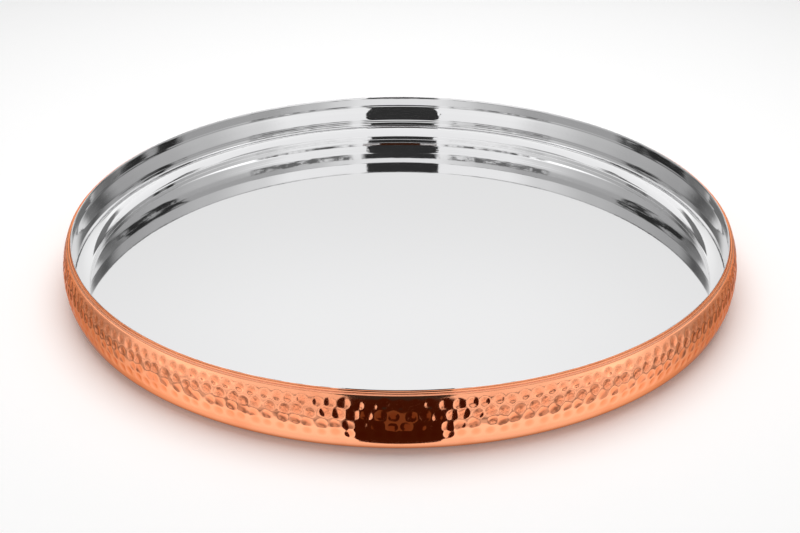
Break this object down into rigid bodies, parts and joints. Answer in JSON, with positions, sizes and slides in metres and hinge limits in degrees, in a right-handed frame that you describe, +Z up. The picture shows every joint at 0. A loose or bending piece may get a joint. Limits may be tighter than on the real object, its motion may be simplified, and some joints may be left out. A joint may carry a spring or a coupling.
{
  "type": "thali plate",
  "caption": "Round double-walled thali plate: a polished steel dish with a raised rim, set in a bulging hammered copper shell with a rolled hem.",
  "frame": {"origin": "centre of the foot ring's face, on the surface that the plate stands on", "axes": "+Z up along the plate's axis, out of the dish; the plate is round, so +X and +Y are any two directions in its plane"},
  "size_m": [0.33, 0.33, 0.0285],
  "materials": {
    "polished_steel": "mirror-polished stainless steel",
    "hammered_copper": null
  },
  "bodies": {
    "root": {"inner_dish": "polished_steel", "outer_shell": "hammered_copper"}
  },
  "joints": []
}
